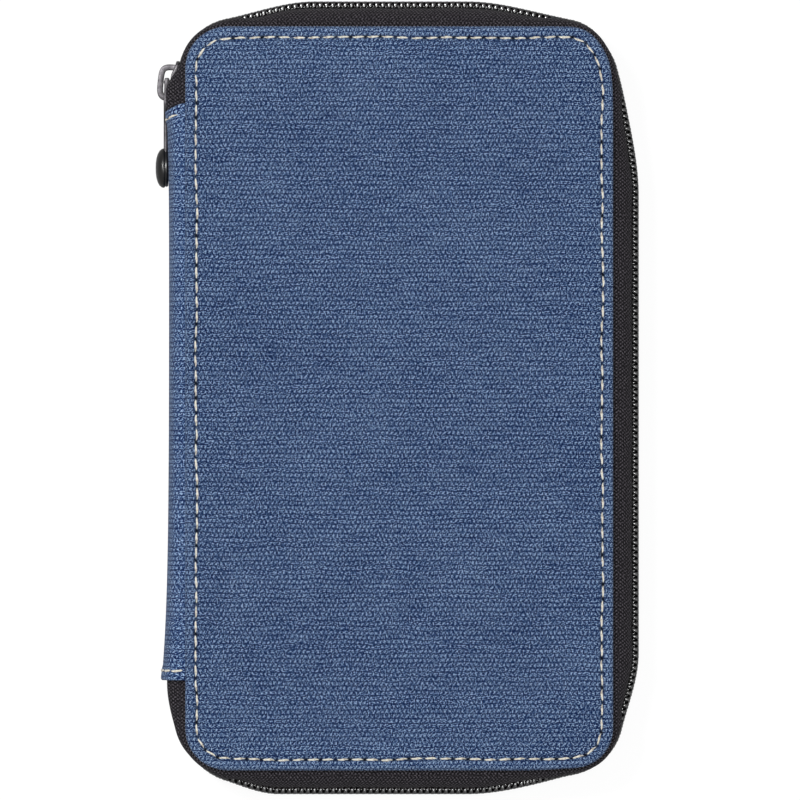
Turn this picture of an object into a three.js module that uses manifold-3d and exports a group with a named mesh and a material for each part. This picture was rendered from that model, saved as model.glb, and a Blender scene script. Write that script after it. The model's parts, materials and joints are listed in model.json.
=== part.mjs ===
// A zip-around travel document organizer: two stiffened canvas covers joined by a canvas spine, closed by a
// coil zipper, with pockets sewn to the inside of each cover. Closed, lying on its back cover.
//
// Millimetres. The origin is the centre of the back cover's outer face. +X points from the spine to the
// long zipper side, +Y to the top end, where the slider parks, and +Z up through the thickness.

import * as THREE from "three";
import { mergeVertices } from "three/addons/utils/BufferGeometryUtils.js";
import Module from "manifold-3d";

const wasm = await Module();
wasm.setup();

// ---- Driving dimensions ----

const PANEL = { width: 107, height: 186, corner: 10.5 };
const CASE_THICKNESS = 24;
const CANVAS = 0.8; // canvas thickness
const BOARD = 1.2;
const LINING = 0.5;
const PLY_GAP = 0.1; // air between two plies of one cover
const SEWN_GAP = 0.2; // air between sewn neighbours on the same body
const FOLD_GAP = 0.3; // from a cover's edge to its fold line, and from there to the spine

const STITCH = { inset: 2.75, width: 0.7, height: 0.25, groove: 0.35 };

// The zipper stands proud of the covers' outline by its bulge, which is least at the middle of each corner
// and rises to its full value over a ramp measured along the outline.
const ZIPPER = {
  tape: 0.6,
  coilDepth: 2.0, // along the outline's normal
  coilWidth: 2.4, // across the tape
  coilGap: 1.2, // between the two halves of the chain, where the slider's post runs
  cornerBulge: 0.4,
  bulge: { top: 5.1, right: 5.2, bottom: 5.2, left: 2.0 },
  ramp: { top: 38, right: 38, bottom: 38, left: 24 },
};

const SPINE = {
  top: 73, // y of the top hem
  bottom: -70.5, // y of the bottom hem
  bulge: { top: 4.8, middle: 4.2, bottom: 6.2 },
  swell: { top: 40, bottom: 25 }, // how far each hem's own bulge reaches along the spine
  hemInset: 2.2, // from a hem to its stitching
  hemReach: 5, // of its stitching, each way from mid thickness
};

// The two ends of the zipper ride on the spine. Each runs from under a hem to just short of a corner's
// middle.
const TAIL = { underHem: 4, short: 2.7, gap: 0.5 };

const SLIDER = {
  before: 12, // along the outline from the top left corner's middle
  length: 10,
  noseWidth: 8.4,
  tailWidth: 6.6,
  plate: 0.8,
  outerClearance: 0.85, // the straight slider rounds a curved chain, so it needs room
  innerClearance: 1.35,
  lip: 0.7,
  post: { thickness: 0.7, from: 1.2, to: 3.6 }, // along the slider from its nose
};
const BAIL = {
  length: 8.4,
  height: 2.9,
  width: 2.0,
  band: 0.9,
  rounding: 0.6, // of its shoulders, as a share of its height
};
const PULLER = {
  pivotHeight: 1.3, // from the slider's outer face to the cross bar's axis
  cross: 1.0,
  width: 5.2,
  arm: 1.2,
  eyeLength: 5.6,
  reach: 17.5, // from the pivot to the grip
  neck: 3.0,
  thickness: 0.9,
  crank: 0.6, // how far the link bows out, to clear the spine's hem
};
const GRIP = { length: 10.4, width: 7.2, thickness: 3.3 };

// Pockets are flat sleeves open towards +Y: a sheet held off its backing by a sewn edge on three sides.
// Depths are measured from the lining into the case.
const POCKET_SHEET = 0.5;
const SEAM = 1.0;
const BACK_POCKETS = [
  { name: "document_pocket", x: [-42, 50], y: [-87, 58], gap: 1.6 },
  { name: "passport_pocket", x: [-42, 50], y: [-87, 8], gap: 4.4 },
];
const FRONT_POCKETS = [
  { name: "ticket_sleeve", x: [-47, 49], y: [-87, 70], gap: 1.2 },
  { name: "card_slot_upper", x: [-45, 47], y: [-87, 2], gap: 1.0 },
  { name: "card_slot_middle", x: [-45, 47], y: [-87, -13], gap: 1.0 },
  { name: "card_slot_lower", x: [-45, 47], y: [-87, -28], gap: 1.0 },
];
const PEN_LOOP = { x: [-51.4, -42.2], y: [24, 52], height: 9, wall: 0.8 };

// ---- Derived dimensions ----

const COVER = CANVAS + BOARD + LINING + 2 * PLY_GAP; // also the depth at which a cover's pockets start
const MID = CASE_THICKNESS / 2;
const HALF_W = PANEL.width / 2;
const HALF_H = PANEL.height / 2;
const FOLD_X = -HALF_W - FOLD_GAP;
const RIM_DEPTH = CANVAS + BOARD + PLY_GAP; // how deep the canvas is turned over the board's edge
const COIL_INNER = MID - ZIPPER.coilGap / 2; // depth of the coil's toothed side
const COIL_OUTER = COIL_INNER - ZIPPER.coilWidth; // depth of the coil's sewn side
const TAPE_END = COIL_OUTER - FOLD_GAP;
const CORNER_ARC = (Math.PI / 2) * PANEL.corner;
const SIDE_X = PANEL.width - 2 * PANEL.corner;
const SIDE_Y = PANEL.height - 2 * PANEL.corner;

// How finely curves are divided.
const CORNER_STEP = CORNER_ARC / 6;
const SIDE_STEP = 9.5;
const CORNER_SEGMENTS = 6;
const SPINE_SEGMENTS = [14, 12, 1];

// ---- Materials ----

const material = (color, roughness, metalness = 0) =>
  new THREE.MeshStandardMaterial({ color, roughness, metalness });

const BLUE_CANVAS = material(0x45597a, 0.9);
const GREY_BOARD = material(0x8c8578, 0.95);
const BLACK_LINING = material(0x232429, 0.85);
const POCKET_CLOTH = material(0x2b2d33, 0.85);
const ZIPPER_TAPE = material(0x2c2b30, 0.8);
const COIL_NYLON = material(0x151517, 0.35);
const CREAM_THREAD = material(0xe6d9c4, 0.7);
const ELASTIC = material(0x1b1b1e, 0.8);
const GUNMETAL = material(0x6f6c70, 0.35, 0.8);
const GLOSS_BLACK = material(0x19191b, 0.25);

// ---- Geometry helpers ----

const smoothstep = (t) => THREE.MathUtils.smoothstep(t, 0, 1);

// A closed solid with only positions, its shared vertices merged and its faces turned outwards.
function closed(geometry) {
  geometry.deleteAttribute("normal");
  geometry.deleteAttribute("uv");
  const merged = mergeVertices(geometry, 1e-4);
  const p = merged.attributes.position;
  const index = merged.index.array;
  const [a, b, c] = [new THREE.Vector3(), new THREE.Vector3(), new THREE.Vector3()];
  let volume = 0;
  for (let i = 0; i < index.length; i += 3) {
    a.fromBufferAttribute(p, index[i]);
    b.fromBufferAttribute(p, index[i + 1]);
    c.fromBufferAttribute(p, index[i + 2]);
    volume += a.dot(b.cross(c));
  }
  if (volume < 0) {
    for (let i = 0; i < index.length; i += 3) {
      [index[i + 1], index[i + 2]] = [index[i + 2], index[i + 1]];
    }
  }
  merged.computeVertexNormals();
  return merged;
}

// A unit box, cut into segments, whose points (u, v, w), each 0 to 1, are carried into place by map.
function warpedBox([nu, nv, nw], map) {
  const geometry = new THREE.BoxGeometry(1, 1, 1, nu, nv, nw);
  const p = geometry.attributes.position;
  for (let i = 0; i < p.count; i++) {
    p.setXYZ(i, ...map(p.getX(i) + 0.5, p.getY(i) + 0.5, p.getZ(i) + 0.5));
  }
  return closed(geometry);
}

function box([x0, x1], [y0, y1], [z0, z1]) {
  const geometry = new THREE.BoxGeometry(x1 - x0, y1 - y0, z1 - z0);
  return closed(geometry.translate((x0 + x1) / 2, (y0 + y1) / 2, (z0 + z1) / 2));
}

function toManifold(geometry) {
  const vertProperties = new Float32Array(geometry.attributes.position.array);
  const triVerts = new Uint32Array(geometry.index.array);
  return new wasm.Manifold(new wasm.Mesh({ numProp: 3, vertProperties, triVerts }));
}

function fromManifold(solid) {
  const { vertProperties, triVerts } = solid.getMesh();
  const geometry = new THREE.BufferGeometry();
  geometry.setAttribute("position", new THREE.BufferAttribute(vertProperties, 3));
  geometry.setIndex(new THREE.BufferAttribute(triVerts, 1));
  return closed(geometry);
}

const joined = (first, ...rest) =>
  fromManifold(rest.reduce((solid, g) => solid.add(toManifold(g)), toManifold(first)));

const cut = (first, ...rest) =>
  fromManifold(rest.reduce((solid, g) => solid.subtract(toManifold(g)), toManifold(first)));

// The covers' outline, drawn in by inset.
function coverOutline(inset, Kind = THREE.Shape) {
  const [w, h, r] = [HALF_W - inset, HALF_H - inset, PANEL.corner - inset];
  const shape = new Kind();
  shape.moveTo(w, -h + r);
  shape.absarc(w - r, h - r, r, 0, Math.PI / 2);
  shape.absarc(-w + r, h - r, r, Math.PI / 2, Math.PI);
  shape.absarc(-w + r, -h + r, r, Math.PI, 1.5 * Math.PI);
  shape.absarc(w - r, -h + r, r, 1.5 * Math.PI, 2 * Math.PI);
  shape.closePath();
  return shape;
}

// A plate of the covers' outline, drawn in by inset, between two depths.
function coverPlate(inset, z0, z1, hole) {
  const shape = coverOutline(inset);
  if (hole !== undefined) {
    shape.holes.push(coverOutline(hole, THREE.Path));
  }
  const options = { depth: z1 - z0, bevelEnabled: false, curveSegments: CORNER_SEGMENTS };
  return closed(new THREE.ExtrudeGeometry(shape, options).translate(0, 0, z0));
}

// The point and outward normal of the covers' outline at distance s along it, clockwise seen from +Z, from
// the middle of the top left corner.
function outlineAt(s) {
  const sides = [
    { corner: [-1, 1], turn: Math.PI / 2, length: SIDE_X, name: "top" },
    { corner: [1, 1], turn: 0, length: SIDE_Y, name: "right" },
    { corner: [1, -1], turn: -Math.PI / 2, length: SIDE_X, name: "bottom" },
    { corner: [-1, -1], turn: Math.PI, length: SIDE_Y, name: "left" },
  ];
  const perimeter = 4 * CORNER_ARC + 2 * (SIDE_X + SIDE_Y);
  let left = THREE.MathUtils.euclideanModulo(s, perimeter);
  for (const { corner, turn, length, name } of sides) {
    const whole = CORNER_ARC + length; // from this corner's middle to the next one's
    if (left > whole) {
      left -= whole;
      continue;
    }
    const next = left > CORNER_ARC / 2 + length;
    const along = THREE.MathUtils.clamp(left - CORNER_ARC / 2, 0, length);
    const arc = next ? left - CORNER_ARC / 2 - length : Math.min(0, left - CORNER_ARC / 2);
    const angle = turn - arc / PANEL.corner;
    const normal = new THREE.Vector2(Math.cos(angle), Math.sin(angle));
    const tangent = new THREE.Vector2(Math.sin(turn), -Math.cos(turn));
    const centre = new THREE.Vector2(
      corner[0] * (HALF_W - PANEL.corner),
      corner[1] * (HALF_H - PANEL.corner),
    ).addScaledVector(tangent, along);
    const point = centre.addScaledVector(normal, PANEL.corner);
    const fromCorner = Math.min(left, whole - left);
    return { point, normal, name, fromCorner };
  }
  throw new Error("outlineAt ran past the outline");
}

// How far the chain's centre line stands out from the outline at s.
function bulgeAt(s) {
  const { name, fromCorner } = outlineAt(s);
  const rise = smoothstep(fromCorner / ZIPPER.ramp[name]);
  return ZIPPER.cornerBulge + (ZIPPER.bulge[name] - ZIPPER.cornerBulge) * rise;
}

// A point at a distance off the outline at s, at depth z.
function offOutline(s, off, z) {
  const { point, normal } = outlineAt(s);
  return [point.x + normal.x * off, point.y + normal.y * off, z];
}

// ---- The zipper ----

// The corners' middles, as distances along the outline.
const TOP_LEFT = 0;
const TOP_RIGHT = TOP_LEFT + CORNER_ARC + SIDE_X;
const BOTTOM_RIGHT = TOP_RIGHT + CORNER_ARC + SIDE_Y;
const BOTTOM_LEFT = BOTTOM_RIGHT + CORNER_ARC + SIDE_X;

// The places along the outline where a run is divided: evenly on each straight side and round each corner.
function divide(from, to) {
  const corners = [TOP_LEFT, TOP_RIGHT, BOTTOM_RIGHT, BOTTOM_LEFT];
  const bends = corners.flatMap((middle) => [middle - CORNER_ARC / 2, middle + CORNER_ARC / 2]);
  const ends = [from, ...bends.filter((s) => s > from && s < to), to];
  const pieces = [];
  ends.slice(1).forEach((end, i) => {
    const start = ends[i];
    const onCorner = bends.indexOf(start) % 2 === 0 || bends.indexOf(end) % 2 === 1;
    const count = Math.ceil((end - start) / (onCorner ? CORNER_STEP : SIDE_STEP));
    for (let k = 0; k < count; k++) {
      pieces.push(THREE.MathUtils.lerp(start, end, k / count));
    }
  });
  return [...pieces, to];
}

// How far past a left corner's middle the zipper runs, to end under a hem.
const hemDistance = (hem) => CORNER_ARC / 2 + HALF_H - PANEL.corner - Math.abs(hem) + TAIL.underHem;
const MAIN_RUN = divide(-TAIL.short + TAIL.gap, BOTTOM_LEFT + TAIL.short - TAIL.gap);
const TOP_TAIL = divide(-hemDistance(SPINE.top), -TAIL.short);
const BOTTOM_TAIL = divide(BOTTOM_LEFT + TAIL.short, BOTTOM_LEFT + hemDistance(SPINE.bottom));

const coverDepth = (side, depth) => (side === "back" ? depth : CASE_THICKNESS - depth);

// The tape along a run: a flange sewn inside the cover's rim, where the run has one, then a band out to
// the coil.
function tape(run, side, hasFlange) {
  const half = ZIPPER.tape / 2;
  const flangeDepth = RIM_DEPTH + PLY_GAP + half;
  const bend = flangeDepth + half;
  return warpedBox([run.length - 1, hasFlange ? 2 : 1, 1], (u, v, w) => {
    const s = run[Math.round(u * (run.length - 1))];
    const sway = (2 * w - 1) * half;
    const coilEdge = [bulgeAt(s) - ZIPPER.coilDepth / 4 + sway, TAPE_END];
    const hemEdge = [FOLD_GAP + half + SEWN_GAP + sway, bend + 2 * SEWN_GAP];
    const bendEdge = [FOLD_GAP + sway, bend - sway];
    const flangeEdge = [-STITCH.inset + SEWN_GAP + STITCH.width, flangeDepth - sway];
    const stations = hasFlange ? [flangeEdge, bendEdge, coilEdge] : [hemEdge, coilEdge];
    const [off, depth] = stations[Math.round(v * (stations.length - 1))];
    return offOutline(s, off, coverDepth(side, depth));
  });
}

function coil(run, side) {
  return warpedBox([run.length - 1, 1, 1], (u, v, w) => {
    const s = run[Math.round(u * (run.length - 1))];
    const off = bulgeAt(s) + (w - 0.5) * ZIPPER.coilDepth;
    return offOutline(s, off, coverDepth(side, THREE.MathUtils.lerp(COIL_OUTER, COIL_INNER, v)));
  });
}

// ---- The covers ----

// Canvas turned over the edge of its board, with a groove pulled down by the stitching.
function coverCanvas() {
  const skin = coverPlate(0, 0, RIM_DEPTH);
  const boardSeat = coverPlate(CANVAS, CANVAS, RIM_DEPTH + 1);
  const { inset, width, groove } = STITCH;
  const grooveRing = coverPlate(inset - width / 2 - SEWN_GAP, -1, groove, inset + width / 2 + SEWN_GAP);
  return cut(skin, boardSeat, grooveRing);
}

const stitchRing = () => {
  const { inset, width, height, groove } = STITCH;
  const outside = groove - height - PLY_GAP / 2;
  return coverPlate(inset - width / 2, outside, groove - PLY_GAP / 2, inset + width / 2);
};

const boardPlate = () => coverPlate(CANVAS + PLY_GAP, CANVAS + PLY_GAP, CANVAS + BOARD);

const liningPlate = () => coverPlate(STITCH.inset - SEWN_GAP, RIM_DEPTH + PLY_GAP / 2, COVER - PLY_GAP);

// Sleeves lie one on another, so each starts where the last one's sheet ends.
function pockets(list) {
  let depth = COVER;
  return list.map(({ name, x, y, gap }) => {
    const sheet = [depth + gap, depth + gap + POCKET_SHEET];
    const body = box(x, y, [depth, sheet[1]]);
    const inside = box([x[0] + SEAM, x[1] - SEAM], [y[0] + SEAM, y[1] + 1], [depth - 1, sheet[0]]);
    depth = sheet[1] + PLY_GAP;
    return { name, geometry: cut(body, inside) };
  });
}

function penLoop() {
  const { x, y, height, wall } = PEN_LOOP;
  const z = [COVER, COVER + height];
  const bore = box([x[0] + wall, x[1] - wall], [y[0] - 1, y[1] + 1], [z[0] + wall, z[1] - wall]);
  return cut(box(x, y, z), bore);
}

// ---- The spine ----

// How far the spine's outer face stands out at y: most at the bottom hem, least between the hems.
function spineBulge(y) {
  const { top, bottom, bulge, swell } = SPINE;
  const nearTop = smoothstep(1 - (top - y) / swell.top);
  const nearBottom = smoothstep(1 - (y - bottom) / swell.bottom);
  const topRise = (bulge.top - bulge.middle) * nearTop;
  return bulge.middle + topRise + (bulge.bottom - bulge.middle) * nearBottom;
}

// Distance of the spine's outer face from the covers' outline, at height z: the strip bows out between the
// two fold lines.
function spineFace(y, z) {
  const edge = COVER / 2 + FOLD_GAP;
  const across = THREE.MathUtils.clamp((z - edge) / (CASE_THICKNESS - 2 * edge), 0, 1);
  const crown = Math.sqrt(Math.sin(Math.PI * across));
  const atFold = 2 * FOLD_GAP + CANVAS;
  return atFold + crown * (spineBulge(y) - atFold);
}

// A strip lying a depth inside the spine's outer face.
function spineStrip([y0, y1], [z0, z1], depth, thickness) {
  return warpedBox(SPINE_SEGMENTS, (u, v, w) => {
    const y = THREE.MathUtils.lerp(y0, y1, v);
    const z = MID - ((z1 - z0) / 2) * Math.cos(Math.PI * u);
    return [-HALF_W - spineFace(y, z) + depth + w * thickness, y, z];
  });
}

// A seam of thread across the middle of the spine's face, beside a hem.
function hemStitching(y) {
  const { width, height } = STITCH;
  return warpedBox([6, 1, 1], (u, v, w) => {
    const z = MID + (2 * u - 1) * SPINE.hemReach;
    return [-HALF_W - spineFace(y, z) - PLY_GAP - w * height, y + (v - 0.5) * width, z];
  });
}

// ---- The slider and its puller ----

// Where the slider sits: its place on the chain's centre line, and the chain's direction there.
function sliderSeat() {
  const at = (s) => new THREE.Vector2(...offOutline(s, bulgeAt(s), 0));
  const place = at(-SLIDER.before);
  const forward = at(-SLIDER.before + 1).sub(at(-SLIDER.before - 1));
  return { place, angle: Math.atan2(forward.y, forward.x) };
}

// In the slider's own frame +X runs along the chain, away from the spine, +Y points out of the case.
function sliderPlate([y0, y1]) {
  const { length, noseWidth, tailWidth } = SLIDER;
  const shape = new THREE.Shape();
  shape.moveTo(length / 2, -tailWidth / 2);
  shape.lineTo(length / 2, tailWidth / 2);
  shape.lineTo(0, noseWidth / 2);
  shape.lineTo(-length / 3, noseWidth / 2);
  shape.quadraticCurveTo(-length / 2, noseWidth / 2, -length / 2, noseWidth / 4);
  shape.lineTo(-length / 2, -noseWidth / 4);
  shape.quadraticCurveTo(-length / 2, -noseWidth / 2, -length / 3, -noseWidth / 2);
  shape.lineTo(0, -noseWidth / 2);
  shape.closePath();
  const options = { depth: y1 - y0, bevelEnabled: false, curveSegments: 4 };
  return closed(new THREE.ExtrudeGeometry(shape, options).rotateX(Math.PI / 2).translate(0, y1, 0));
}

const SLIDER_OUTER = ZIPPER.coilDepth / 2 + SLIDER.outerClearance;
const SLIDER_INNER = -ZIPPER.coilDepth / 2 - SLIDER.innerClearance;

function sliderBody() {
  const { length, plate, lip, post, tailWidth } = SLIDER;
  const outer = sliderPlate([SLIDER_OUTER, SLIDER_OUTER + plate]);
  const inner = sliderPlate([SLIDER_INNER - plate, SLIDER_INNER]);
  const coilSide = ZIPPER.coilGap / 2 + ZIPPER.coilWidth + FOLD_GAP;
  const lipDepth = [SLIDER_OUTER - lip, SLIDER_OUTER + plate / 2];
  const lips = [-1, 1].map((side) => {
    const z = [side * coilSide, side * (tailWidth / 2 + lip)].sort((a, b) => a - b);
    return box([-length / 3, length / 3], lipDepth, z);
  });
  const postBar = box(
    [-length / 2 + post.from, -length / 2 + post.to],
    [SLIDER_INNER - plate / 2, SLIDER_OUTER + plate / 2],
    [-post.thickness / 2, post.thickness / 2],
  );
  return joined(outer, inner, postBar, ...lips);
}

// A flat arch over the slider's outer plate, which carries the puller's cross bar.
function bail() {
  const { length, height, width, band, rounding } = BAIL;
  const arch = (l, h, Kind = THREE.Shape) => {
    const shape = new Kind();
    const r = Math.min(h, l / 2) * rounding;
    shape.moveTo(-l / 2, 0);
    shape.lineTo(-l / 2, h - r);
    shape.quadraticCurveTo(-l / 2, h, -l / 2 + r, h);
    shape.lineTo(l / 2 - r, h);
    shape.quadraticCurveTo(l / 2, h, l / 2, h - r);
    shape.lineTo(l / 2, 0);
    shape.closePath();
    return shape;
  };
  const block = (shape, w) => {
    const options = { depth: w, bevelEnabled: false, curveSegments: 5 };
    return closed(new THREE.ExtrudeGeometry(shape, options).translate(0, 0, -w / 2));
  };
  const inside = block(arch(length - 2 * band, height - band), width + 2).translate(0, -SEWN_GAP, 0);
  const solid = cut(block(arch(length, height), width), inside);
  return solid.translate(0, SLIDER_OUTER + SLIDER.plate + PLY_GAP, 0);
}

// In the puller's own frame the cross bar runs along Z at the origin and the link hangs along -Y, bowed
// towards -X, which is away from the case.
function pullerLink() {
  const { cross, width, arm, eyeLength, reach, neck, thickness, crank } = PULLER;
  const half = width / 2;
  // A strip of the link between two distances down from the cross bar.
  const strip = ([d0, d1], halfWidth) =>
    warpedBox([1, 6, 1], (u, v, w) => {
      const d = THREE.MathUtils.lerp(d1, d0, v);
      const bow = -crank * smoothstep(d / eyeLength);
      return [bow + (u - 0.5) * thickness, -d, (2 * w - 1) * halfWidth];
    });
  const bar = closed(new THREE.CylinderGeometry(cross / 2, cross / 2, width, 12).rotateX(Math.PI / 2));
  const eye = strip([0, eyeLength + arm], half);
  const hole = box([-width, width], [-eyeLength, cross / 4], [-half + arm, half - arm]);
  const stem = strip([eyeLength, reach], neck / 2);
  return joined(cut(joined(eye, stem), hole), bar);
}

// An oval thumb pad moulded on the link's end, its bulk on the side away from the case.
function pullerGrip() {
  const { length, width, thickness } = GRIP;
  const pad = closed(new THREE.SphereGeometry(0.5, 16, 12).scale(thickness, length, width));
  const out = (thickness - PULLER.thickness) / 2 + PULLER.crank;
  return pad.translate(-out, -PULLER.reach - PLY_GAP - length / 2, 0);
}

// ---- The assembly ----

const part = new THREE.Group();

function add(parent, name, geometry, finish) {
  const mesh = new THREE.Mesh(geometry, finish);
  mesh.name = name;
  parent.add(mesh);
}

// A cover's pieces are drawn as the back cover's; the front cover turns them face down.
const mirrored = (geometry) => closed(geometry.clone().scale(1, 1, -1).translate(0, 0, CASE_THICKNESS));

function addCover(side, pocketList) {
  const place = side === "back" ? (geometry) => geometry : mirrored;
  const cover = new THREE.Group();
  add(cover, `${side}_canvas`, place(coverCanvas()), BLUE_CANVAS);
  add(cover, `${side}_board`, place(boardPlate()), GREY_BOARD);
  add(cover, `${side}_lining`, place(liningPlate()), BLACK_LINING);
  add(cover, `${side}_stitching`, place(stitchRing()), CREAM_THREAD);
  add(cover, `${side}_zipper_tape`, tape(MAIN_RUN, side, true), ZIPPER_TAPE);
  add(cover, `${side}_zipper_coil`, coil(MAIN_RUN, side), COIL_NYLON);
  for (const { name, geometry } of pockets(pocketList)) {
    add(cover, name, place(geometry), POCKET_CLOTH);
  }
  part.add(cover);
  return cover;
}

function addSpine() {
  const spine = new THREE.Group();
  const { top, bottom, hemInset } = SPINE;
  const canvasEdge = COVER / 2 + FOLD_GAP;
  const canvasSides = [canvasEdge, CASE_THICKNESS - canvasEdge];
  add(spine, "spine_canvas", spineStrip([bottom, top], canvasSides, 0, CANVAS), BLUE_CANVAS);
  const liningEnds = [bottom + 2 * TAIL.underHem, top - 2 * TAIL.underHem];
  const liningSides = [COVER + FOLD_GAP, CASE_THICKNESS - COVER - FOLD_GAP];
  const lining = spineStrip(liningEnds, liningSides, CANVAS + SEWN_GAP, LINING);
  add(spine, "spine_lining", lining, BLACK_LINING);
  add(spine, "top_hem_stitching", hemStitching(top - hemInset), CREAM_THREAD);
  add(spine, "bottom_hem_stitching", hemStitching(bottom + hemInset), CREAM_THREAD);
  for (const [end, run] of Object.entries({ top: TOP_TAIL, bottom: BOTTOM_TAIL })) {
    for (const side of ["back", "front"]) {
      add(spine, `${side}_tape_${end}_end`, tape(run, side, false), ZIPPER_TAPE);
      add(spine, `${side}_coil_${end}_end`, coil(run, side), COIL_NYLON);
    }
  }
  part.add(spine);
}

function addSlider() {
  const { place, angle } = sliderSeat();
  const slider = new THREE.Group();
  slider.position.set(place.x, place.y, MID);
  slider.rotation.z = angle;
  add(slider, "slider_body", sliderBody(), GUNMETAL);
  add(slider, "slider_bail", bail(), GUNMETAL);

  const puller = new THREE.Group();
  puller.position.set(0, SLIDER_OUTER + SLIDER.plate + PULLER.pivotHeight, 0);
  puller.rotation.z = -angle; // the puller hangs straight down beside the spine
  add(puller, "puller_link", pullerLink(), GUNMETAL);
  add(puller, "puller_grip", pullerGrip(), GLOSS_BLACK);
  slider.add(puller);
  part.add(slider);
}

const backCover = addCover("back", BACK_POCKETS);
add(backCover, "pen_loop", penLoop(), ELASTIC);
addCover("front", FRONT_POCKETS);
addSpine();
addSlider();

export default part;
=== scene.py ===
"""The looks of a zip-around canvas travel document organizer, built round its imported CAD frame.

Shapes are worked out in millimetres in the CAD's frame: +X from the spine to the long zipper side, +Y to
the top end, +Z from the back cover to the front cover. Meshes are scaled to metres as they are made.
"""
import json
import math

import bmesh
import bpy
import numpy as np
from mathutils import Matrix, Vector


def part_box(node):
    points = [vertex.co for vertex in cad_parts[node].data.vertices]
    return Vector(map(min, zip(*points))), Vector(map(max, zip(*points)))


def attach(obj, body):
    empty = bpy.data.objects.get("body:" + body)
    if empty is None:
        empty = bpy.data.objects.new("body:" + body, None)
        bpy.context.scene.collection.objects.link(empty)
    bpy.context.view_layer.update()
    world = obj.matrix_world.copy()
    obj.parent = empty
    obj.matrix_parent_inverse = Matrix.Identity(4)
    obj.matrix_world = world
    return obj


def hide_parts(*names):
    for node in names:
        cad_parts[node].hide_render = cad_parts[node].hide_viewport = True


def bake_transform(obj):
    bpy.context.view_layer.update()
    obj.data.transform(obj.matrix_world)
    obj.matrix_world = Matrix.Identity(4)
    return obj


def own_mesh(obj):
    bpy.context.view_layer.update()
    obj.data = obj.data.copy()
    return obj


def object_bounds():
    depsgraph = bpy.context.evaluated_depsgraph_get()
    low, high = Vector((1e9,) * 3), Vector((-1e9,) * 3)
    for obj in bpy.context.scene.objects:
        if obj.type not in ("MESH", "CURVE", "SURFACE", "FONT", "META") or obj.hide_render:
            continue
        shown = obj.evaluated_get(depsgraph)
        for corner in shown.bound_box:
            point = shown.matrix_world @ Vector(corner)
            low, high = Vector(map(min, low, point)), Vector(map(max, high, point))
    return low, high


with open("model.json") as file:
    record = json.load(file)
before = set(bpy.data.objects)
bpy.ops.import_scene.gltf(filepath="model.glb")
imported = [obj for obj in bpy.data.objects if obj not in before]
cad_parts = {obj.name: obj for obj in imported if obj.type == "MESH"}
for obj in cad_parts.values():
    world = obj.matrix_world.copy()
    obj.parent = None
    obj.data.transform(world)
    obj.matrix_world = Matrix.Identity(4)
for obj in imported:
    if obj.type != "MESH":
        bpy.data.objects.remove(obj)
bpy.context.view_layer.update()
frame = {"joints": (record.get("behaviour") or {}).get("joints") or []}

MM = 0.001
rng = np.random.default_rng(7)


def box_mm(node):
    low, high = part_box(node)
    return low / MM, high / MM


# ---- Sizes read from the frame ----

BACK_HIGH = box_mm("back_canvas")[1]
HALF_W = BACK_HIGH.x
HALF_H = BACK_HIGH.y
THICKNESS = box_mm("front_canvas")[1].z
MID = THICKNESS / 2
RIM = BACK_HIGH.z  # depth of a cover's turned edge
LINING_DEPTH = box_mm("back_lining")[1].z  # depth at which the inside of the case begins
COIL_LOW, COIL_HIGH = box_mm("back_zipper_coil")
SPINE_LOW, SPINE_HIGH = box_mm("spine_canvas")
FOLD = {j["name"]: Vector(j["pos_m"]) / MM for j in frame["joints"] if "pos_m" in j}

# ---- Driving dimensions that the frame doesn't state ----

CORNER = 10.5  # radius of the covers' corners
COIL_DEPTH = 2.0  # of the CAD's coils, outwards
CORNER_BULGE = -0.15  # how far the chain's middle stands off the covers' outline at the corners
LEFT_BULGE = 2.0  # and along the left side
BOTTOM_PULL = 0.4  # how much less the chain bulges at the bottom than the CAD's
# Distance from each end of a side, clockwise, to where the chain bulges fully.
RAMP = {"top": (30, 34), "right": (40, 27), "bottom": (34, 21), "left": (24, 24)}
SEAM_INSET = 2.75  # of the covers' sewn line from their outline
STITCH_PITCH = 3.7
COIL_PITCH = 1.57
WEFT_PITCH = 1.16  # between rows of the canvas's weave
WARP_PITCH = 1.12  # between floats in a row

CORNER_ARC = math.pi / 2 * CORNER
SIDE_X = 2 * (HALF_W - CORNER)
SIDE_Y = 2 * (HALF_H - CORNER)
PERIMETER = 4 * CORNER_ARC + 2 * (SIDE_X + SIDE_Y)
BOTTOM_LEFT = 3 * CORNER_ARC + 2 * SIDE_X + SIDE_Y  # the middle of the bottom left corner
BULGE = {
    "top": COIL_HIGH.y - HALF_H - COIL_DEPTH / 2,
    "right": COIL_HIGH.x - HALF_W - COIL_DEPTH / 2,
    "bottom": -HALF_H - COIL_LOW.y - COIL_DEPTH / 2 - BOTTOM_PULL,
    "left": LEFT_BULGE,
}
SIDES = ("top", "right", "bottom", "left")
TOP_RIGHT = CORNER_ARC + SIDE_X
BOTTOM_RIGHT = 2 * CORNER_ARC + SIDE_X + SIDE_Y
DRAWN_IN = ((TOP_RIGHT + 3, 1.1), (BOTTOM_RIGHT + 7, 0.5))  # where the outline is drawn in, and how far
DRAWN_SPAN = 7  # how far to either side that fades out


def smooth(t):
    t = np.clip(t, 0, 1)
    return t * t * (3 - 2 * t)


def mix(a, b, t):
    return a + (b - a) * t


def soft(wave, power):
    """A sine or cosine squared off (power below 1) for rounded rectangles."""
    return np.sign(wave) * np.abs(wave) ** power


def full_turn(count):
    """Angles evenly spaced round a circle."""
    return np.arange(count) * 2 * math.pi / count


def unit(vectors):
    return vectors / np.linalg.norm(vectors, axis=1)[:, None]


def travelled(steps):
    """Distances from the start of a line, from its steps along the last axis."""
    steps = np.asarray(steps)
    return np.concatenate([np.zeros((*steps.shape[:-1], 1)), np.cumsum(steps, -1)], -1)


def uv_grid(along, across):
    return np.stack(np.meshgrid(along, across, indexing="ij"), -1)


# ---- The covers' outline ----


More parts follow.
